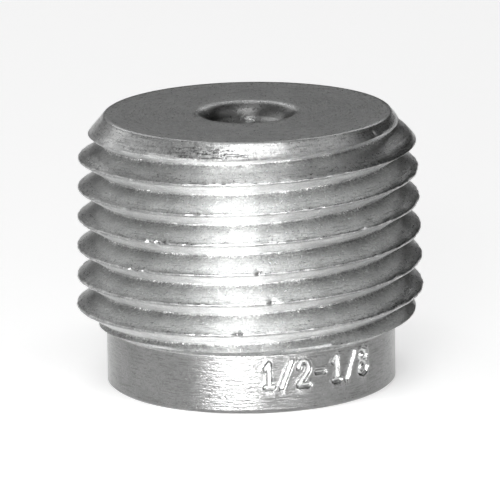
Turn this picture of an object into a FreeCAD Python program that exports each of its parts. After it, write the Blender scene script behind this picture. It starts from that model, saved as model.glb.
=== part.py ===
"""Reducing bushing: one turned and zinc-plated steel piece that screws into a conduit hub and takes a smaller conduit.

The outside is a 1/2-14 taper pipe thread above a plain round collar. The collar's end is drilled for tapping with
the smaller 1/8-27 taper pipe thread. The far end is a wall with a rounded throat for the wires.
Frame: millimetres, origin at the centre of the collar's end face, +Z along the axis towards the throat.
"""

import FreeCAD
import Part
import math
import os

# Driving dimensions in millimetres and degrees
overall_height = 16.6
pipe_taper_on_diameter = 1 / 16

# 14 turns to the inch
thread_pitch = 1.8143
thread_angle = 60.0
thread_crest_flat = 0.14
thread_start_angle = 156.0
crest_diameter_at_throat_face = 20.45
start_chamfer_width = 1.525
start_chamfer_angle = 40.0

collar_height = 3.6
collar_below_root = 0.38
collar_edge_break = 0.2
runout_cone_rise_angle = 26.0

throat_diameter = 4.2
throat_round = 1.25
end_wall = 6.6

# 11/32 inch
tap_drill_diameter = 8.731
drill_point_angle = 118.0
tapped_mouth_chamfer = 0.9

# Values that follow from the driving dimensions
radius_per_height = pipe_taper_on_diameter / 2
flank_run = math.tan(math.radians(thread_angle / 2))
half_groove = (thread_pitch - thread_crest_flat) / 2
thread_depth = half_groove / flank_run
throat_radius = throat_diameter / 2
throat_mouth_radius = throat_radius + throat_round
tap_drill_radius = tap_drill_diameter / 2
tap_drill_depth = overall_height - end_wall

ORIGIN = FreeCAD.Vector(0, 0, 0)
X_AXIS = FreeCAD.Vector(1, 0, 0)
Z_AXIS = FreeCAD.Vector(0, 0, 1)


def point(radius, z):
    """A point of a section, in the plane of the X and Z axes."""
    return FreeCAD.Vector(radius, 0, z)


def lines(points):
    """Straight edges through the points in turn."""
    return [Part.LineSegment(a, b).toShape() for a, b in zip(points, points[1:])]


def crest_radius(z):
    """Radius of the thread's crests at height z: it grows from the throat's face down to the collar."""
    return crest_diameter_at_throat_face / 2 + (overall_height - z) * radius_per_height


def start_chamfer_z():
    """Height at which the chamfer that starts the thread meets the crests."""
    slope = math.tan(math.radians(start_chamfer_angle))
    return overall_height - start_chamfer_width / (slope - radius_per_height)


def collar_radius():
    """Radius of the collar: a little less than the thread's root there, so that the thread runs out clear of it."""
    return crest_radius(collar_height) - thread_depth - collar_below_root


def runout_cone_z():
    """Height at which the cone that rises from the collar meets the crests."""
    slope = 1 / math.tan(math.radians(runout_cone_rise_angle))
    return collar_height + (crest_radius(collar_height) - collar_radius()) / (slope + radius_per_height)


def drill_point_z():
    """Height at which the tap drill's conical point meets the throat."""
    return tap_drill_depth + (tap_drill_radius - throat_radius) / math.tan(math.radians(drill_point_angle / 2))


def half_section():
    """The blank's half section before threading: up the outside, round the throat's edge and down the bore."""
    outside = [
        point(tap_drill_radius + tapped_mouth_chamfer, 0),
        point(collar_radius() - collar_edge_break, 0),
        point(collar_radius(), collar_edge_break),
        point(collar_radius(), collar_height),
        point(crest_radius(runout_cone_z()), runout_cone_z()),
        point(crest_radius(start_chamfer_z()), start_chamfer_z()),
        point(crest_radius(overall_height) - start_chamfer_width, overall_height),
        point(throat_mouth_radius, overall_height),
    ]
    inside = [
        point(throat_radius, overall_height - throat_round),
        point(throat_radius, drill_point_z()),
        point(tap_drill_radius, tap_drill_depth),
        point(tap_drill_radius, tapped_mouth_chamfer),
        outside[0],
    ]
    half_turn = throat_round * math.sqrt(0.5)
    round_middle = point(throat_mouth_radius - half_turn, overall_height - throat_round + half_turn)
    throat_edge = Part.Arc(outside[-1], round_middle, inside[0]).toShape()
    return Part.Wire(lines(outside) + [throat_edge] + lines(inside))


def turned_blank():
    """The half section turned about the axis."""
    return Part.Face(half_section()).revolve(ORIGIN, Z_AXIS, 360)


def thread_groove():
    """The right-hand V groove, from above the throat's face to below the runout cone, clear of the collar.

    The helix is made upright, where its cone opens upwards, and then turned over about X, which keeps its hand.
    """
    top = overall_height + thread_pitch
    bottom = collar_height - thread_pitch / 2
    radius = crest_radius(top)
    helix = Part.makeLongHelix(thread_pitch, top - bottom, radius, math.degrees(math.atan(radius_per_height)))
    helix.rotate(ORIGIN, X_AXIS, 180)
    helix.translate(FreeCAD.Vector(0, 0, top))

    past_crest = 0.4 * thread_crest_flat
    half_width = half_groove + past_crest * flank_run
    cutter = [
        point(radius - thread_depth, top),
        point(radius + past_crest, top - half_width),
        point(radius + thread_depth, top - half_width),
        point(radius + thread_depth, top + half_width),
        point(radius + past_crest, top + half_width),
    ]
    sweep = Part.BRepOffsetAPI.MakePipeShell(Part.Wire(helix.Edges))
    sweep.setBiNormalMode(Z_AXIS)
    sweep.add(Part.makePolygon(cutter + cutter[:1]))
    sweep.build()
    sweep.makeSolid()
    groove = sweep.shape()
    groove.rotate(ORIGIN, Z_AXIS, thread_start_angle)
    return groove


def bushing_body():
    """The finished piece: the turned blank with its thread cut."""
    return turned_blank().cut(thread_groove()).Solids[0]


os.makedirs("parts", exist_ok=True)
bushing_body().exportStep("parts/bushing_body.step")
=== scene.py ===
"""Looks of a zinc plated steel reducing bushing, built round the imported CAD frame.

Shapes are worked out in millimetres round the axis of the part and written to the mesh in metres.
"""
import math
from collections import namedtuple

import bmesh
import bpy
import numpy as np
from mathutils import Matrix, Vector


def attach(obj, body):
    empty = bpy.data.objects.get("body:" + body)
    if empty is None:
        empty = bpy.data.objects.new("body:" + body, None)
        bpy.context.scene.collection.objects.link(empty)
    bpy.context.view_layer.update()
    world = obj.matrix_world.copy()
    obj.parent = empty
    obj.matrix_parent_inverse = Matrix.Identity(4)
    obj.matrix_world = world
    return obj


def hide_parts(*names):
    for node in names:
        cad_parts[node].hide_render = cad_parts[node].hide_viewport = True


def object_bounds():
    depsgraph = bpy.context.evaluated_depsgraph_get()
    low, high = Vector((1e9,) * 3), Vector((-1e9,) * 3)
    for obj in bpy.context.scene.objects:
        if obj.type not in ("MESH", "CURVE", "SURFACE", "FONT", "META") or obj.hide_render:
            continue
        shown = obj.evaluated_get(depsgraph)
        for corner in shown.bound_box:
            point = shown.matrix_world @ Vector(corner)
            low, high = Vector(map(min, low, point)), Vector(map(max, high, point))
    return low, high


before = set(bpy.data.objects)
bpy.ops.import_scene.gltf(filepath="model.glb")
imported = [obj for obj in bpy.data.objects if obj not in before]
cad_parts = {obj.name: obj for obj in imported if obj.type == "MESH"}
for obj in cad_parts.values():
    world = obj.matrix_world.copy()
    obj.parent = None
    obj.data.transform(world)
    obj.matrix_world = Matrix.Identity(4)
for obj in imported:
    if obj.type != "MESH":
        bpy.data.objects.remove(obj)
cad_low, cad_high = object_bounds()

MM = 0.001
INCH = 25.4
TURN = 2 * math.pi

# Sizes of the turned body in millimetres, which follow the solid
height = (cad_high.z - cad_low.z) / MM
taper = 1 / 32
pitch = INCH / 14
half_thread_angle = math.radians(30)
flank_run = math.tan(half_thread_angle)
crest_flat = 0.14
start_angle = math.radians(156)
face_crest_radius = 10.225
face_radius = 8.7
chamfer_run = math.tan(math.radians(40))
collar_height = 3.6
collar_radius = 8.801
collar_break = 0.2
runout_rise = math.tan(math.radians(26))
throat_radius = 2.1
throat_round = 1.25
drill_radius = 11 / 64 * INCH
drill_depth = 10.0
drill_point_z = 11.361
mouth_chamfer = 0.9

# Form of the threads that only the looks need
crest_round = 0.5 * crest_flat / flank_run
crest_tangent = crest_round * math.cos(half_thread_angle)
crest_tangent_drop = crest_round * (1 - math.sin(half_thread_angle))
root_round = 0.08
root_tangent = root_round * math.cos(half_thread_angle)
groove_turn = (height + pitch) / pitch - start_angle / TURN
chamfer_blend = 0.06
runout_blend = 0.03
tap_pitch = INCH / 27
tap_mouth_radius = 5.09
tap_half_flat = 0.03
tap_full_z = 6.2
tap_fade_z = 7.6
tap_end_z = 7.8
edge_round = 0.05
edge_near = 0.4 * edge_round
edge_far = 0.6 * edge_round

# Marks along the thread for the material, in millimetres; the material paints shade with the root and flank
# marks, and a dark line with the edge and start marks
full_form_span = (-0.25, -0.02)
root_reach = 0.10
root_strength = 0.75
shade_span = (0.25, 0.86)
edge_shade_middle = -0.02
edge_shade_reach = 0.09
edge_shade_strength = 0.6
under_span = (-0.06, -0.22)
start_shade_line_reach = 0.07
start_shade_line_strength = 0.7
start_shade_line_fade = (height - 0.1, height - 0.3)

# Mesh density: columns round the axis, rows in parts of a turn, and rings by radius or height
front_angle = -0.5 * math.pi
columns = 384
front_density = 0.22
density_steps = 4001
thread_rows = (0.0, 0.03, 0.058, 0.12, 0.21, 0.30, 0.39, 0.4618, 0.481, 0.5,
               0.519, 0.5382, 0.61, 0.70, 0.79, 0.88, 0.942, 0.97)
tap_rows = (0.0, 0.04, 0.2, 0.36, 0.4417, 0.5, 0.5583, 0.64, 0.8, 0.96)
end_inner_radii = (5.5, 6.2)
end_split_radius = 7.2
end_outer_radius = 8.0
collar_low_levels = (0.3, 0.6, 1.0)
collar_high_level = 3.52
face_outer_radii = (face_radius - edge_round, 8.4, 7.4, 6.4, 5.4)
face_split_radius = 4.7
face_inner_radius = 4.0
throat_edge_out = (0.12, 0.03)
throat_edge_down = (0.0, 0.003)
throat_steps = 12
throat_levels = (14.2, 13.0, 12.0, drill_point_z + edge_round)
drill_point_middle = (3.2, 10.7)
drill_levels = (drill_depth, 9.2, 8.4)
weld_distance = 1e-7
least_edge = 1e-8
least_row = 1e-9
sharp_angle = math.radians(50)

# Size numbers stamped on the collar: angles are from the front, positive to the right of the picture
number_text = "1/2-1/8"
number_low = 1.42
number_high = 3.32
number_rows = 11
number_cuts = 3
number_from = math.radians(1)
number_to = math.radians(56)
number_centre = math.radians(28)
number_margin = 0.01
number_face_radius = collar_radius - 0.1
number_point_radius = collar_radius - 0.06
number_height = 1.45
number_width = 0.78
number_step = 1.10
stroke_half_width = 0.18
stroke_floor_half_width = 0.063
stroke_depth = 0.14
# The strokes, and their lips further down, are kept partly free of the collar's painted shade
stroke_unshaded = 0.8
lip_height = 0.05
lip_middle = stroke_half_width + 0.03
lip_reach = 0.10
lip_unshaded = 0.2
lip_evenness = 0.6

# Strokes of each sign, in a box one wide and one high
signs = {
    "1": [[(0.25, 0.78), (0.55, 1.0), (0.55, 0.0)], [(0.25, 0.0), (0.85, 0.0)]],
    "2": [[(0.06, 0.74), (0.12, 0.89), (0.30, 0.99), (0.56, 1.0), (0.80, 0.92), (0.90, 0.76), (0.84, 0.58),
           (0.60, 0.38), (0.28, 0.18), (0.04, 0.0), (0.94, 0.0)]],
    "8": [[(0.5, 0.54), (0.24, 0.62), (0.13, 0.76), (0.22, 0.92), (0.5, 1.0), (0.78, 0.92), (0.87, 0.76),
           (0.76, 0.62), (0.5, 0.54), (0.2, 0.44), (0.06, 0.26), (0.16, 0.08), (0.5, 0.0), (0.84, 0.08),
           (0.94, 0.26), (0.8, 0.44), (0.5, 0.54)]],
    "/": [[(0.08, -0.06), (0.92, 1.06)]],
    "-": [[(0.18, 0.47), (0.82, 0.47)]],
}

# Dents on the outside: degrees from the front, height, reach, depth (less than 0 stands proud) and darkness
dents = (
    (-10.9, 14.55, 0.14, -0.06, 0.0), (-8.6, 14.50, 0.12, 0.06, 0.3), (-5.5, 14.55, 0.15, -0.06, 0.0),
    (2.9, 9.05, 0.20, 0.14, 0.7), (7.2, 7.25, 0.24, 0.16, 0.6), (-4.5, 5.40, 0.26, 0.16, 0.6),
    (-29.5, 10.70, 0.26, 0.18, 0.9), (-31.8, 10.58, 0.18, 0.14, 0.9), (-35.4, 10.66, 0.22, 0.14, 0.1),
    (-42.7, 8.80, 0.18, 0.14, 0.1), (-37.4, 8.84, 0.16, 0.12, 0.1), (57.0, 16.22, 0.15, 0.08, 0.0),
    (24.0, 12.65, 0.20, 0.12, 0.3), (41.0, 10.95, 0.22, 0.12, 0.3), (-60.0, 12.35, 0.20, 0.10, 0.3),
    (118.0, 11.2, 0.30, 0.16, 0.5), (163.0, 8.1, 0.26, 0.15, 0.4), (-150.0, 13.4, 0.24, 0.14, 0.5),
    (-101.0, 6.7, 0.26, 0.14, 0.4), (-171.0, 10.0, 0.22, 0.12, 0.3),
)
dent_split = 1.6
dent_cuts = 2
dent_lowest = collar_height + 0.2
dark_narrowing = 3

# The outside that wears: the thread and its chamfer
worn_low = collar_height + 0.1
worn_high = height - edge_far
worn_radius = face_radius + 0.03

# Torn start of the thread on the chamfer: its middle and half width in degrees, and its heights
torn_middle = -15.0
torn_half_width = 13.0
torn_low = (15.25, 15.55)
torn_high = (16.35, 16.5)
streaked_middle = -13.0
streaked_half_width = 18.0
streaked_low = (15.60, 15.74)
streaked_high = (16.20, 16.42)

# Ragged surfaces: each layer of noise has a cell, a depth and a seed, and most sink the surface a little
crest_layers = ((0.55, 0.07, 3), (0.21, 0.06, 5))
crest_line_radius = 10.4
crest_reach = 0.15
crest_under_chamfer = (0.01, 0.12)
bite_cell = 1.7
bite_seed = 9
bite_from = 0.45
bite_depth = 0.22
flank_layers = ((0.30, 0.010, 11), (0.13, 0.007, 13))
flank_sink = 0.012
flank_span = (0.0, 0.3)
flank_under_chamfer = (0.0, 0.25)
tear_layers = ((0.26, 0.016, 17), (0.16, 0.020, 19))
tear_sink = 0.025
lip_layers = ((0.22, 0.5, 7),)
collar_layers = ((0.8, 0.006, 23),)
collar_sink = 0.006
collar_stretch = (1, 1, 0.4)
collar_worn_radius = collar_radius - 0.03
collar_worn_low = 0.25
collar_worn_high = 3.5

# Fixed random numbers
noise_size = 65536
noise_table = np.random.default_rng(41).uniform(-1.0, 1.0, noise_size)
noise_shift = 1000.0
hash_factors = (73856093, 19349663, 83492791)
seed_factor = 2654435


def noise3(points, cell, seed):
    """Smooth noise from -1 to 1 at points in millimetres, with features about one cell wide."""
    scaled = np.asarray(points) / cell + noise_shift
    base = np.floor(scaled).astype(np.int64)
    part = scaled - base
    part = part * part * (3 - 2 * part)
    total = np.zeros(len(scaled))
    for corner in range(8):
        step = np.array([corner & 1, (corner >> 1) & 1, (corner >> 2) & 1])
        key = (base + step) * np.array(hash_factors)
        index = key[:, 0] ^ key[:, 1] ^ key[:, 2] ^ (seed * seed_factor)
        weight = np.prod(np.where(step == 1, part, 1 - part), axis=1)
        total += weight * noise_table[index & (noise_size - 1)]
    return total


def layered_noise(points, layers, least=-1.0):
    """Sum of layers of noise, where each layer's noise is at least the given value."""
    return sum(depth * np.maximum(noise3(points, cell, seed), least) for cell, depth, seed in layers)


def smooth(low, high, value):
    """Goes smoothly from 0 at low to 1 at high."""
    part = np.clip((value - low) / (high - low), 0.0, 1.0)
    return part * part * (3 - 2 * part)


def bell(distance, reach):
    """1 at no distance, and close to 0 at twice the reach."""
    return np.exp(-(distance / reach) ** 2)


def plateau(distance, reach):
    """About 1 over most of the reach, with a quick fall at its end."""
    return np.exp(-(distance / reach) ** 4)


def soft_min(a, b, width):
    """The lower of two values, with a small round where they cross."""
    mixed = np.clip(0.5 + 0.5 * (b - a) / width, 0.0, 1.0)
    return b + (a - b) * mixed - width * mixed * (1 - mixed)


def from_front(x, y):
    """Angle from the front of the part, positive to the right of the picture."""
    turned = np.arctan2(y, x) - front_angle
    return (turned + math.pi) % TURN - math.pi


def crest_radius(z):
    """Radius of the taper that the crests lie on."""
    return face_crest_radius + (height - z) * taper


def chamfer_radius(z):
    """Radius of the chamfer that starts the thread."""
    return face_radius + (height - z) * chamfer_run


def thread_turn(theta, z):
    """Turns along the thread, which are whole numbers on the crests."""
    return z / pitch - theta / TURN - groove_turn + 0.5


def thread_drop(along):
    """How far the thread form lies under its crest, at a distance up or down from the crest's middle."""
    flank = crest_tangent_drop + (along - crest_tangent) / flank_run
    bottom = crest_tangent_drop + (pitch / 2 - crest_tangent) / flank_run
    top = crest_round - np.sqrt(np.maximum(crest_round ** 2 - along ** 2, 0))
    from_root = pitch / 2 - along
    root = bottom - 2 * root_round + np.sqrt(np.maximum(root_round ** 2 - from_root ** 2, 0))
    drop = np.where(along < crest_tangent, top, flank)
    return np.where(from_root < root_tangent, root, drop)


def outer_surface(theta, z):
    """Radius of the outside above the collar, and the thread's marks for the material.

    The marks are the root, the flank over a crest, the edge along the crest and the flank under it. The
    material paints shade with the first two and a dark line with the edge.
    """
    turn = thread_turn(theta, z)
    above = (turn - np.round(turn)) * pitch
    along = np.abs(above)
    plain = crest_radius(z) - thread_drop(along)
    chamfer = chamfer_radius(z)
    cone = collar_radius + (z - collar_height) / runout_rise
    radius = soft_min(soft_min(plain, chamfer, chamfer_blend), cone, runout_blend)
    full = smooth(*full_form_span, radius - plain)
    # Painted shade: root marks the roots and shade the upper flank near them, both darkened by the
    # material; edge and the start line mark a painted dark line along each crest and where the thread
    # starts
    root = root_strength * bell(pitch / 2 - along, root_reach) * full
    shade = smooth(*shade_span, above) * full
    edge = edge_shade_strength * bell(above - edge_shade_middle, edge_shade_reach) * full
    start_shade_line = bell(plain - chamfer, start_shade_line_reach) * smooth(*start_shade_line_fade, z)
    edge = np.maximum(edge, start_shade_line_strength * start_shade_line)
    under = smooth(*under_span, above) * full
    return radius, (root, shade, edge, under)


def tapped_surface(theta, z):
    """Radius of the tapped hole, which fades into the plain drilled hole; it has no marks."""
    turn = z / tap_pitch - theta / TURN
    along = np.abs(turn - np.round(turn)) * tap_pitch
    depth = tap_mouth_radius - z * taper - drill_radius
    groove = np.maximum(depth - np.maximum(along - tap_half_flat, 0) / flank_run, 0)
    fade = 1 - smooth(tap_full_z, tap_fade_z, z)
    thread = drill_radius + groove * fade
    chamfer = drill_radius + mouth_chamfer - z
    return np.maximum(thread, chamfer), None


def column_angles():
    """Angles of the mesh columns, closer together at the front of the part."""
    even = np.linspace(0, TURN, density_steps)
    density = 1 + front_density * np.cos(even - front_angle)
    total = np.concatenate([[0.0], np.cumsum(0.5 * (density[1:] + density[:-1]))])
    total /= total[-1]
    return np.interp(np.arange(columns) / columns, total, even)


outer_angles = column_angles()
inner_angles = outer_angles[::2]


class Surface:
    """Vertices, faces and thread marks of the body, gathered ring by ring."""

    def __init__(self):
        self.points = []
        self.faces = []
        self.marks = []

    def add(self, theta, radius, z, marks=None):
        """Adds a row of vertices and returns their numbers."""
        start = len(self.points)
        zero = np.zeros(len(theta))
        marks = (zero, zero, zero, zero) if marks is None else marks
        rows = np.stack([radius * np.cos(theta), radius * np.sin(theta), z + zero], axis=1)
        self.points.extend(rows.tolist())
        self.marks.extend(np.stack(marks, axis=1).tolist())
        return list(range(start, start + len(theta)))

    def ring(self, theta, radius, z):
        """Adds a level ring."""
        return self.add(theta, np.full(len(theta), radius), z)

    def stack(self, ring, theta, sections):
        """Adds rings by radius and height, each joined to the one before, and returns the last."""
        for radius, z in sections:
            added = self.ring(theta, radius, z)
            self.join(ring, added)
            ring = added
        return ring

    def join(self, lower, upper):
        """Joins two rings with as many columns."""
        count = len(lower)
        for i in range(count):
            j = (i + 1) % count
            self.faces.append((lower[i], lower[j], upper[j], upper[i]))

    def join_double(self, coarse, fine):
        """Joins a ring to one with twice as many columns."""
        count = len(coarse)
        for i in range(count):
            j = (i + 1) % count
            left, middle, right = fine[2 * i], fine[2 * i + 1], fine[2 * j]
            self.faces.append((coarse[i], middle, left))
            self.faces.append((coarse[i], coarse[j], middle))
            self.faces.append((coarse[j], right, middle))

    def helix(self, theta, z_low, z_high, step, rows, shift, shape):
        """Rows that follow a right-hand helix between two heights; returns the first and last ring."""
        per_turn = len(rows)
        first = math.floor(z_low / step - 1 - shift) - 1
        last = math.ceil(z_high / step - shift) + 1
        levels = [whole + part for whole in range(first, last + 1) for part in rows]
        grid = []
        for level in levels:
            z = np.clip((level + theta / TURN + shift) * step, z_low, z_high)
            radius, marks = shape(theta, z)
            grid.append(self.add(theta, radius, z, marks))
        for k in range(len(levels) - 1):
            for i in range(len(theta) - 1):
                self.quad(grid[k][i], grid[k][i + 1], grid[k + 1][i + 1], grid[k + 1][i])
            if k + 1 + per_turn < len(levels):
                self.quad(grid[k][-1], grid[k + per_turn][0], grid[k + 1 + per_turn][0], grid[k + 1][-1])
        return grid[0], grid[-1]

    def quad(self, a, b, c, d):
        """Adds a face unless it has no height."""
        heights = [self.points[i][2] for i in (a, b, c, d)]
        if abs(heights[0] - heights[3]) < least_row and abs(heights[1] - heights[2]) < least_row:
            return
        self.faces.append((a, b, c, d))


def collar_sections():
    """Radius and height of the rings from the end face, over the broken edge and up the collar."""
    broken = collar_radius - collar_break
    sections = [
        (end_outer_radius, 0.0),
        (broken - edge_round, 0.0),
        (broken + edge_near, edge_far),
        (collar_radius - edge_near, collar_break - edge_far),
    ]
    number_levels = np.linspace(number_low, number_high, number_rows)
    levels = (collar_break, *collar_low_levels, *number_levels, collar_high_level, collar_height)
    return sections + [(collar_radius, z) for z in levels]


def throat_sections():
    """Radius and height of the rings from the throat's face, round its edge and down to the tapped hole."""
    mouth = throat_radius + throat_round
    sections = [(face_inner_radius, height)]
    sections += [(mouth + out, height - down) for out, down in zip(throat_edge_out, throat_edge_down)]
    for step in range(1, throat_steps + 1):
        angle = 0.25 * TURN * step / throat_steps
        sunk = throat_round * (1 - math.cos(angle))
        sections.append((mouth - throat_round * math.sin(angle), height - sunk))
    sections += [(throat_radius, z) for z in throat_levels]
    sections += [(throat_radius + edge_round, drill_point_z - edge_near), drill_point_middle]
    return sections + [(drill_radius, z) for z in drill_levels]


def build_surface():
    """The whole skin: end face, collar, thread, throat's face, throat, drilled hole and tapped hole."""
    made = Surface()
    end_ring = made.ring(outer_angles, end_split_radius, 0.0)
    collar_ring = made.stack(end_ring, outer_angles, collar_sections())
    first, last = made.helix(outer_angles, collar_height, height - edge_round, pitch, thread_rows,
                             groove_turn - 0.5, outer_surface)
    made.join(collar_ring, first)
    face_ring = made.stack(last, outer_angles, [(radius, height) for radius in face_outer_radii])
    inner_ring = made.ring(inner_angles, face_split_radius, height)
    made.join_double(inner_ring, face_ring)
    drill_ring = made.stack(inner_ring, inner_angles, throat_sections())
    first, last = made.helix(inner_angles, 0.0, tap_end_z, tap_pitch, tap_rows, 0.0, tapped_surface)
    made.join(drill_ring, last)
    mouth_ring = made.stack(first, inner_angles, [(radius, 0.0) for radius in end_inner_radii])
    made.join_double(mouth_ring, end_ring)
    return made


def under_numbers(z, radius, front):
    """Whether a place lies on the collar where the numbers are."""
    on_collar = number_low < z < number_high and radius > number_face_radius
    return on_collar and number_from < front < number_to


def near_dent(z, radius, front):
    """Whether a place lies close to a dent of the thread or its chamfer."""
    if z < dent_lowest or radius < face_radius:
        return False
    for angle, level, reach, *others in dents:
        if math.hypot((front - math.radians(angle)) * radius, z - level) < dent_split * reach:
            return True
    return False


def split_faces(work, wanted, cuts):
    """Divides the edges of the faces that are wanted."""
    edges = {}
    for face in work.faces:
        centre = face.calc_center_median() / MM
        if wanted(centre.z, math.hypot(centre.x, centre.y), from_front(centre.x, centre.y)):
            edges.update(dict.fromkeys(face.edges))
    bmesh.ops.subdivide_edges(work, edges=list(edges), cuts=cuts, use_grid_fill=True)


class Points:
    """The mesh's vertices in millimetres, and where they lie round the axis."""

    def __init__(self, mesh):
        flat = np.empty(len(mesh.vertices) * 3, dtype=np.float32)
        mesh.vertices.foreach_get("co", flat)
        self.place = flat.reshape(-1, 3).astype(float) / MM
        x, y, self.z = self.place.T
        self.theta = np.arctan2(y, x)
        self.radius = np.hypot(x, y)
        self.front = from_front(x, y)
        above_collar = (self.z > worn_low) & (self.z < worn_high)
        self.outside = above_collar & (self.radius > worn_radius)
        self.under_chamfer = chamfer_radius(self.z) - self.radius

    def on_outside(self, values):
        """The values on the thread and its chamfer, and nothing elsewhere."""
        return np.where(self.outside, values, 0)


def stroke_distance(across, up):
    """Distance from points on the unrolled collar to the nearest stroke of the numbers."""
    nearest = np.full(len(across), math.inf)
    left = -0.5 * (number_step * (len(number_text) - 1) + number_width)
    low = 0.5 * (number_low + number_high - number_height)
    for place, sign in enumerate(number_text):
        corner_x = left + place * number_step
        for stroke in signs[sign]:
            corners = [(corner_x + x * number_width, low + y * number_height) for x, y in stroke]
            for (ax, ay), (bx, by) in zip(corners, corners[1:]):
                run_x, run_y = bx - ax, by - ay
                part = ((across - ax) * run_x + (up - ay) * run_y) / (run_x ** 2 + run_y ** 2)
                part = np.clip(part, 0, 1)
                nearest = np.minimum(nearest, np.hypot(across - ax - part * run_x, up - ay - part * run_y))
    return nearest


def stamped_numbers(at):
    """Where the numbers are stamped, how the collar's radius changes there and how much of the collar's
    painted shade is left off them.
    """
    on_collar = (at.radius > number_point_radius) & (at.z > number_low - number_margin)
    on_collar &= at.z < number_high + number_margin
    stamped = on_collar & (at.front > number_from - number_margin) & (at.front < number_to + number_margin)
    away = stroke_distance((at.front[stamped] - number_centre) * collar_radius, at.z[stamped])
    sunk = 1 - smooth(stroke_floor_half_width, stroke_half_width, away)
    lip = bell(away - lip_middle, lip_reach) * (away > stroke_half_width)
    lip_rise = lip_height * lip * (lip_evenness + layered_noise(at.place[stamped], lip_layers))
    change = np.zeros(len(at.z))
    change[stamped] = collar_radius - at.radius[stamped] - stroke_depth * sunk + lip_rise
    stamp_unshaded = np.zeros(len(at.z))
    stamp_unshaded[stamped] = np.clip(stroke_unshaded * sunk + lip_unshaded * lip, 0, 1)
    return stamped, change, stamp_unshaded


def ragged_thread(at):
    """Change of radius where the crests are ragged and bitten, and on the flanks' fine grain."""
    turn = thread_turn(at.theta, at.z)
    number = np.round(turn)
    along = np.abs(turn - number) * pitch
    crest_line = np.stack([
        np.cos(at.theta) * crest_line_radius,
        np.sin(at.theta) * crest_line_radius,
        (number + at.theta / TURN) * pitch,
    ], axis=1)
    ragged = layered_noise(crest_line, crest_layers, least=0.0)
    bite = bite_depth * np.maximum(noise3(crest_line, bite_cell, bite_seed) - bite_from, 0)
    crest = bell(along, crest_reach) * smooth(*crest_under_chamfer, at.under_chamfer)
    grain = layered_noise(at.place, flank_layers) * smooth(*flank_under_chamfer, at.under_chamfer)
    flank = (grain - flank_sink) * smooth(*flank_span, along)
    return at.on_outside(flank - crest * (ragged + bite))


def dented_surface(at):
    """Change of radius in the dents, and how dark they are."""
    change = np.zeros(len(at.z))
    nick = np.zeros(len(at.z))
    for angle, level, reach, depth, dark in dents:
        arc = (at.front - math.radians(angle)) * at.radius
        away = (arc ** 2 + (at.z - level) ** 2) / reach ** 2
        change -= depth * np.exp(-away)
        nick = np.maximum(nick, dark * np.exp(-dark_narrowing * away))
    return at.on_outside(change), at.on_outside(nick)


def torn_start(at):
    """Change of radius where the start of the thread is torn, and where the chamfer is streaked."""
    degrees = np.degrees(at.front)
    torn = plateau(degrees - torn_middle, torn_half_width)
    torn *= smooth(*torn_low, at.z) * (1 - smooth(*torn_high, at.z))
    tear = layered_noise(at.place, tear_layers) - tear_sink
    streaked = plateau(degrees - streaked_middle, streaked_half_width)
    streaked *= smooth(*streaked_low, at.z) * (1 - smooth(*streaked_high, at.z))
    return at.on_outside(torn * tear), at.on_outside(streaked)


def worn_collar(at, stamped):
    """Change of radius on the plain part of the collar, which is a little uneven."""
    plain = (at.radius > collar_worn_radius) & (at.z > collar_worn_low) & (at.z < collar_worn_high)
    uneven = layered_noise(at.place * np.array(collar_stretch), collar_layers) - collar_sink
    return np.where(plain & ~stamped, uneven, 0)


def add_attribute(mesh, name, values):
    """Stores one number for each vertex, for the material to read."""
    layer = mesh.attributes.new(name, "FLOAT", "POINT")
    layer.data.foreach_set("value", np.ascontiguousarray(values, dtype=np.float32))


def wear_surface(mesh):
    """Stamps the numbers and adds the wear, all inside the CAD box."""
    at = Points(mesh)
    stamped, change, stamp_unshaded = stamped_numbers(at)
    dent_change, nick = dented_surface(at)
    torn_change, streaked = torn_start(at)
    change += ragged_thread(at) + dent_change + torn_change + worn_collar(at, stamped)
    at.place[:, 0] += change * np.cos(at.theta)
    at.place[:, 1] += change * np.sin(at.theta)
    mesh.vertices.foreach_set("co", (at.place * MM).astype(np.float32).ravel())
    for name, values in (("stamp_unshaded", stamp_unshaded), ("nick", nick), ("streaked", streaked)):
        add_attribute(mesh, name, values)
    mesh.update()


def make_body():
    """The bushing as one closed mesh with its marks and wear."""
    made = build_surface()
    mesh = bpy.data.meshes.new("bushing_surface")
    mesh.from_pydata([tuple(v * MM for v in p) for p in made.points], [], made.faces)
    for name, values in zip(("root", "shade", "edge", "under"), np.array(made.marks).T):
        add_attribute(mesh, name, values)
    body = bpy.data.objects.new("bushing_surface", mesh)
    bpy.context.scene.collection.objects.link(body)
    work = bmesh.new()
    work.from_mesh(mesh)
    bmesh.ops.remove_doubles(work, verts=work.verts, dist=weld_distance)
    bmesh.ops.dissolve_degenerate(work, edges=work.edges, dist=least_edge)
    split_faces(work, under_numbers, number_cuts)
    split_faces(work, near_dent, dent_cuts)
    bmesh.ops.recalc_face_normals(work, faces=work.faces)
    work.to_mesh(mesh)
    work.free()
    wear_surface(mesh)
    mesh.polygons.foreach_set("use_smooth", np.ones(len(mesh.polygons), dtype=bool))
    mesh.set_sharp_from_angle(angle=sharp_angle)
    return body


body = make_body()
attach(body, "root")
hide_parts("bushing_body")


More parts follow.
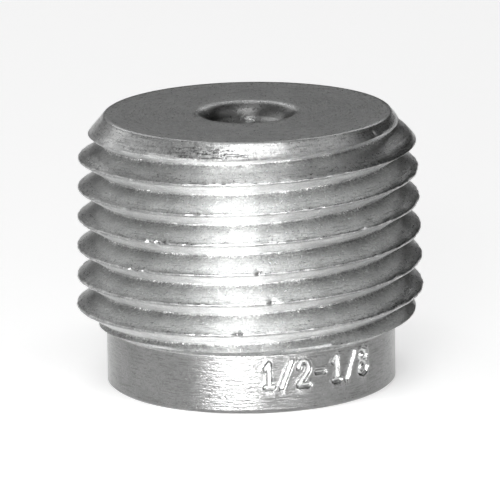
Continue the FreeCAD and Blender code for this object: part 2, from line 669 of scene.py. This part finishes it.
class Nodes:
    """Short ways to add nodes to one tree."""

    def __init__(self, tree):
        self.tree = tree

    def set(self, socket, value):
        """Links a socket, or gives it a value of its own."""
        if isinstance(value, bpy.types.NodeSocket):
            self.tree.links.new(value, socket)
        else:
            socket.default_value = value

    def math(self, kind, a, b):
        node = self.tree.nodes.new("ShaderNodeMath")
        node.operation = kind
        self.set(node.inputs[0], a)
        self.set(node.inputs[1], b)
        return node.outputs[0]

    def times(self, a, b):
        return self.math("MULTIPLY", a, b)

    def minus(self, a, b):
        return self.math("SUBTRACT", a, b)

    def plus(self, first, *others):
        for other in others:
            first = self.math("ADD", first, other)
        return first

    def most(self, first, *others):
        for other in others:
            first = self.math("MAXIMUM", first, other)
        return first

    def blend(self, values, shares):
        """Sum of values, each times its share."""
        return self.plus(*[self.times(value, share) for value, share in zip(values, shares)])

    def vector(self, kind, a, b=None, scale=None):
        node = self.tree.nodes.new("ShaderNodeVectorMath")
        node.operation = kind
        self.set(node.inputs[0], a)
        if b is not None:
            self.set(node.inputs[1], b)
        if scale is not None:
            self.set(node.inputs["Scale"], scale)
        return node.outputs["Value"] if kind in ("LENGTH", "DOT_PRODUCT") else node.outputs["Vector"]

    def noise(self, vector, scale, detail, roughness, w=None):
        node = self.tree.nodes.new("ShaderNodeTexNoise")
        node.noise_dimensions = "3D" if w is None else "4D"
        self.set(node.inputs["Vector"], vector)
        if w is not None:
            self.set(node.inputs["W"], w)
        node.inputs["Scale"].default_value = scale
        node.inputs["Detail"].default_value = detail
        node.inputs["Roughness"].default_value = roughness
        return node.outputs["Fac"]

    def span(self, value, low, high, to_low=0.0, to_high=1.0):
        """Goes smoothly from to_low at low to to_high at high."""
        node = self.tree.nodes.new("ShaderNodeMapRange")
        node.interpolation_type = "SMOOTHSTEP"
        self.set(node.inputs["Value"], value)
        limits = (("From Min", low), ("From Max", high), ("To Min", to_low), ("To Max", to_high))
        for name, number in limits:
            node.inputs[name].default_value = number
        return node.outputs["Result"]

    def mix(self, factor, a, b):
        node = self.tree.nodes.new("ShaderNodeMix")
        node.data_type = "RGBA"
        self.set(node.inputs["Factor"], factor)
        self.set(node.inputs["A"], a)
        self.set(node.inputs["B"], b)
        return node.outputs["Result"]

    def axis(self, vector, letter):
        node = self.tree.nodes.new("ShaderNodeSeparateXYZ")
        self.set(node.inputs[0], vector)
        return node.outputs[letter]

    def attribute(self, name):
        node = self.tree.nodes.new("ShaderNodeAttribute")
        node.attribute_name = name
        return node.outputs["Fac"]


# Colours of the plating
# Colour of the painted glints in the roots
painted_glint_zinc = (0.93, 0.93, 0.93, 1)
pale_zinc = (0.84, 0.845, 0.84, 1)
grey_zinc = (0.56, 0.565, 0.565, 1)
# The faced colours are darker than the turned ones: painted shade on the flat ends
faced_pale_shaded = (0.66, 0.665, 0.66, 1)
faced_grey_shaded = (0.50, 0.505, 0.505, 1)
# Dark zinc for the dirt, and for painted shade in the roots, on the flanks, in the throat and on the collar
dirt_and_shade_zinc = (0.10, 0.10, 0.098, 1)
# Colour of the painted dark line along the crests and the thread's start
painted_dark_line = (0.03, 0.03, 0.03, 1)

# Patterns of the plating: scale per millimetre, detail and roughness of each noise
cut_marks_noise = (1.0, 3.0, 0.65)
cut_marks_per_mm = 11.0
cut_marks_round = 10.0
grain_noise = (5.5, 3.0, 0.7)
speck_noise = (4.2, 2.0, 0.55)
cloud_noise = (0.7, 3.0, 0.6)
fine_noise = (9.0, 2.0, 0.6)
ragged_noise = (2.6, 3.0, 0.7)
ragged_stretch = (1, 1, 2)

# Spans of the patterns: from, to, and what they become there
pit_span = (0.60, 0.70)
tone_span = (0.48, 0.80)
# The next two spans give the painted shade on the flanks and in the roots a grain
shade_grain = (0.36, 0.62, 0.35, 0.80)
root_shade_grain = (0.36, 0.58, 0.35, 0.95)
under_grain = (0.42, 0.66, 0.0, 0.32)
cut_mark_dirt = (0.50, 0.34, 0.0, 0.45)
torn_dirt = (0.53, 0.47, 0.0, 0.85)
# Breaks the painted dark line along the crests into dashes
edge_shade_ragged = (0.36, 0.50, 0.40, 1.0)
# Painted shade inside the throat, partly left off next to the throat's wall
throat_shade_span = (throat_radius + 1.00, throat_radius + 0.65, 0.0, 0.84)
throat_clear = (throat_radius + 0.14, throat_radius + 0.05, 0.0, 0.5)
# Where the painted glints lie: in the roots, on fine and cloudy noise
glint_root_span = (0.20, 0.45)
glint_fine_span = (0.57, 0.63)
glint_cloud_span = (0.46, 0.58)
under_rough = (0.35, 0.60, 0.14, 0.32)
# Painted shade that darkens the collar under the thread
collar_painted_shade = 0.78
collar_fade = 0.1

# Shares of the patterns in the tone, the torn patch, the roughness and the relief
tone_shares = (0.4, 0.4, 0.5)
torn_shares = (0.6, 0.4)
rough_shares = (0.14, 0.12, 0.4, 0.10)
least_roughness = 0.12
relief_of_grain = 0.5
relief_of_root_grain = 2.0
relief_of_fine = 0.35
relief_of_pits = 0.25
cut_direction = 0.25

# The turned and the faced surfaces: bump depth is in millimetres, and what lies under collar_top gets
# painted shade
Finish = namedtuple("Finish", "name anisotropy bump_depth pale grey pitting collar_top")
turned_finish = Finish("zinc_turned", 0.7, 0.022, pale_zinc, grey_zinc, 0.25, collar_height)
faced_finish = Finish("zinc_faced", 0.0, 0.006, faced_pale_shaded, faced_grey_shaded, 0.08, -1.0)


class Plating:
    """Patterns and marks that the colour, roughness and bump of one material share."""

    def __init__(self, n, finish):
        coordinates = n.tree.nodes.new("ShaderNodeTexCoord")
        place = n.vector("SCALE", coordinates.outputs["Object"], scale=1 / MM)
        flat = n.vector("MULTIPLY", place, (1, 1, 0))
        self.from_axis = n.vector("LENGTH", flat)
        level = n.vector("MULTIPLY", place, (0, 0, cut_marks_per_mm))
        round_about = n.vector("SCALE", n.vector("NORMALIZE", flat), scale=cut_marks_round)
        outward = n.times(self.from_axis, cut_marks_per_mm)
        self.marks = n.noise(n.vector("ADD", round_about, level), *cut_marks_noise, w=outward)
        self.grain = n.noise(place, *grain_noise)
        self.cloud = n.noise(place, *cloud_noise)
        self.fine = n.noise(place, *fine_noise)
        self.ragged = n.noise(n.vector("MULTIPLY", place, ragged_stretch), *ragged_noise)
        self.pits = n.span(n.noise(place, *speck_noise), *pit_span)
        above = (finish.collar_top - collar_fade, finish.collar_top + collar_fade)
        self.above_collar = n.span(n.axis(place, "Z"), *above)
        self.root = n.attribute("root")
        self.under = n.attribute("under")
        # Painted glints: bright flecks in the roots
        painted_glints = n.times(n.span(self.root, *glint_root_span), n.span(self.fine, *glint_fine_span))
        self.painted_glints = n.times(painted_glints, n.span(self.cloud, *glint_cloud_span))


def plating_dirt_and_shade(n, plating, finish):
    """How dull the plating is: painted shade on the flanks over the crests, in the roots and in the throat,
    and dirt in pits, cut marks, grain on the lower flanks, darkened dents and the torn start.
    """
    shaded = n.times(n.attribute("shade"), n.span(plating.grain, *shade_grain))
    root_shade = n.times(plating.root, n.span(plating.grain, *root_shade_grain))
    grained = n.times(plating.under, n.span(plating.grain, *under_grain))
    pitted = n.times(plating.pits, finish.pitting)
    streaks = n.span(plating.marks, *cut_mark_dirt)
    # Painted shade in the throat
    throat = n.minus(n.span(plating.from_axis, *throat_shade_span), n.span(plating.from_axis, *throat_clear))
    torn = n.blend((plating.marks, plating.grain), torn_shares)
    torn = n.times(n.attribute("streaked"), n.span(torn, *torn_dirt))
    return n.most(pitted, shaded, root_shade, grained, streaks, throat, n.attribute("nick"), torn)


def plating_colour(n, plating, finish):
    """Mottled zinc, with painted shade on the collar, dirt and painted shade in dull spots, a painted dark
    line along the crests and painted glints in the roots.
    """
    tone = n.blend((plating.grain, plating.cloud, plating.fine), tone_shares)
    colour = n.mix(n.span(tone, *tone_span), finish.grey, finish.pale)
    # Painted shade on the collar, left off the stamped strokes
    collar_shade = n.times(n.minus(1.0, n.attribute("stamp_unshaded")), collar_painted_shade)
    colour = n.mix(plating.above_collar, n.mix(collar_shade, colour, dirt_and_shade_zinc), colour)
    colour = n.mix(plating_dirt_and_shade(n, plating, finish), colour, dirt_and_shade_zinc)
    # Painted shade: a ragged dark line along each crest and the thread's start
    painted_crest_line = n.times(n.attribute("edge"), n.span(plating.ragged, *edge_shade_ragged))
    return n.mix(plating.painted_glints, n.mix(painted_crest_line, colour, painted_dark_line), painted_glint_zinc)


def plating_roughness(n, plating):
    """Smooth on the collar, rougher on the thread, and most on its lower flanks and the painted glints."""
    patterns = (plating.grain, plating.root, plating.painted_glints, plating.above_collar)
    lower_flank = n.times(plating.under, n.span(plating.ragged, *under_rough))
    return n.plus(n.blend(patterns, rough_shares), lower_flank, least_roughness)


def plating_normal(n, plating, finish):
    """Bump of the cut marks, the grain, which is coarser in the roots, and the pits."""
    coarseness = n.plus(n.times(plating.root, relief_of_root_grain), relief_of_grain)
    grain = n.times(plating.grain, coarseness)
    relief = n.plus(plating.marks, grain, n.times(plating.fine, relief_of_fine))
    bump = n.tree.nodes.new("ShaderNodeBump")
    bump.inputs["Strength"].default_value = 1.0
    bump.inputs["Distance"].default_value = finish.bump_depth * MM
    n.set(bump.inputs["Height"], n.minus(relief, n.times(plating.pits, relief_of_pits)))
    return bump.outputs["Normal"]


def zinc_material(finish):
    """Zinc plate on steel, with marks of the cut that run round the axis."""
    material = bpy.data.materials.new(finish.name)
    material.use_nodes = True
    n = Nodes(material.node_tree)
    shader = material.node_tree.nodes["Principled BSDF"]
    plating = Plating(n, finish)
    tangent = n.tree.nodes.new("ShaderNodeTangent")
    tangent.direction_type = "RADIAL"
    tangent.axis = "Z"
    n.set(shader.inputs["Base Color"], plating_colour(n, plating, finish))
    n.set(shader.inputs["Roughness"], plating_roughness(n, plating))
    n.set(shader.inputs["Normal"], plating_normal(n, plating, finish))
    n.set(shader.inputs["Tangent"], tangent.outputs["Tangent"])
    shader.inputs["Metallic"].default_value = 1.0
    shader.inputs["Anisotropic"].default_value = finish.anisotropy
    shader.inputs["Anisotropic Rotation"].default_value = cut_direction
    return material


# Faces of the flat ends: the least share of their normal along the axis, and how near the end they lie
flat_least = 0.9
flat_depth = 0.02


def paint_body():
    """Gives the body its two finishes, with the faced one on both flat ends."""
    body.data.materials.append(zinc_material(turned_finish))
    body.data.materials.append(zinc_material(faced_finish))
    for face in body.data.polygons:
        z = face.center.z / MM
        if abs(face.normal.z) > flat_least and (z > height - flat_depth or z < flat_depth):
            face.material_index = 1


paint_body()

# Camera at the photograph's angle
camera_elevation = math.radians(13.6034)
camera_distance = 367.84 * MM
camera_roll = math.radians(1.0087)
image_side = 500
pixels_per_mm = 16.4468
centre_pixel = (249.485, 245.10)
sensor = 36.0
part_centre = Vector((0, 0, height / 2 * MM))


def make_camera():
    """The camera, with the small shift that the photograph's framing needs."""
    data = bpy.data.cameras.new("camera")
    data.sensor_width = sensor
    data.lens = pixels_per_mm * camera_distance / MM / image_side * sensor
    data.shift_x = (image_side / 2 - centre_pixel[0]) / image_side
    data.shift_y = -(image_side / 2 - centre_pixel[1]) / image_side
    data.clip_start = 0.01
    data.clip_end = 20
    camera = bpy.data.objects.new("camera", data)
    bpy.context.scene.collection.objects.link(camera)
    back = Vector((0, -math.cos(camera_elevation), math.sin(camera_elevation)))
    level_right = Vector((1, 0, 0))
    level_up = back.cross(level_right)
    right = level_right * math.cos(camera_roll) - level_up * math.sin(camera_roll)
    up = level_right * math.sin(camera_roll) + level_up * math.cos(camera_roll)
    turned = Matrix((right, up, back)).transposed().to_4x4()
    camera.matrix_world = Matrix.Translation(part_centre + back * camera_distance) @ turned
    bpy.context.scene.camera = camera


make_camera()

# Floor: its lift brings it near white where it is seen
floor_side = 3.0
floor_gap = 0.02 * MM
floor_colour = (0.88, 0.88, 0.88, 1)
floor_roughness = 0.9
floor_lift = 0.46


def floor_material():
    """Plain pale floor, lifted for the camera and for what metal shows of it."""
    material = bpy.data.materials.new("floor")
    material.use_nodes = True
    n = Nodes(material.node_tree)
    shader = material.node_tree.nodes["Principled BSDF"]
    shader.inputs["Base Color"].default_value = floor_colour
    shader.inputs["Roughness"].default_value = floor_roughness
    shader.inputs["Emission Color"].default_value = (1, 1, 1, 1)
    path = n.tree.nodes.new("ShaderNodeLightPath")
    rays = ("Is Camera Ray", "Is Glossy Ray", "Is Transmission Ray")
    seen = n.most(*[path.outputs[ray] for ray in rays])
    n.set(shader.inputs["Emission Strength"], n.times(seen, floor_lift))
    return material


def make_floor():
    """A wide level floor just under the part."""
    corners = [(-floor_side, -floor_side, 0), (floor_side, -floor_side, 0),
               (floor_side, floor_side, 0), (-floor_side, floor_side, 0)]
    mesh = bpy.data.meshes.new("floor")
    mesh.from_pydata(corners, [], [(0, 1, 2, 3)])
    mesh.materials.append(floor_material())
    floor = bpy.data.objects.new("floor", mesh)
    floor.location.z = cad_low.z - floor_gap
    bpy.context.scene.collection.objects.link(floor)


make_floor()

# Lamps: name, azimuth, elevation, width, height, brightness and distance
near = 0.06
far = 0.6
lamps = (
    ("low_front", -11, -3.4, 30, 8, 31.0, near),
    ("low_wide", -2, -3.4, 76, 8, 9.0, near),
    ("low_right", 42, -3.4, 48, 8, 1.8, near),
    ("front", -14, 5, 24, 8, 10.0, far),
    ("mid_front", -9, 24, 12, 7, 9.0, far),
    ("high_front", 3, 66, 32, 14, 5.4, far),
    ("top", -165, 73, 22, 10, 2.2, far),
    ("right", 80, 52, 50, 30, 0.5, far),
    ("left", -92, 19, 84, 22, 1.0, far),
    ("back", 180, 30, 40, 9, 1.6, far),
)

# Dome: its brightest side, and the span over which its strength rises towards that side
dome_side = Vector((-0.93, 0.0, 0.37)).normalized()
dome_span = (-0.2, 1.0, 0.03, 0.28)


def area_lamp(name, azimuth, elevation, wide, high, brightness, distance):
    """A soft rectangular lamp that faces the part.

    Azimuth is from the camera's side, positive to the right of the picture. Wide and high are angles seen
    from the part, in degrees, and brightness is the lamp's own, where a white page has 1.
    """
    data = bpy.data.lights.new(name, "AREA")
    data.shape = "RECTANGLE"
    data.size = 2 * distance * math.tan(math.radians(wide / 2))
    data.size_y = 2 * distance * math.tan(math.radians(high / 2))
    data.energy = brightness * math.pi * data.size * data.size_y
    lamp = bpy.data.objects.new(name, data)
    turn = math.radians(azimuth)
    rise = math.radians(elevation)
    back = Vector((math.sin(turn) * math.cos(rise), -math.cos(turn) * math.cos(rise), math.sin(rise)))
    lamp.location = part_centre + back * distance
    lamp.rotation_mode = "QUATERNION"
    lamp.rotation_quaternion = (-back).to_track_quat("-Z", "Y")
    lamp.visible_camera = False
    bpy.context.scene.collection.objects.link(lamp)


def make_dome():
    """A weak dome that is brighter on one side."""
    world = bpy.data.worlds.new("world")
    world.use_nodes = True
    n = Nodes(world.node_tree)
    background = world.node_tree.nodes["Background"]
    coordinates = n.tree.nodes.new("ShaderNodeTexCoord")
    facing = n.vector("DOT_PRODUCT", coordinates.outputs["Generated"], dome_side)
    n.set(background.inputs["Strength"], n.span(facing, *dome_span))
    background.inputs["Color"].default_value = (1, 1, 1, 1)
    bpy.context.scene.world = world


for lamp in lamps:
    area_lamp(*lamp)
make_dome()

bpy.context.scene.view_settings.view_transform = "Standard"
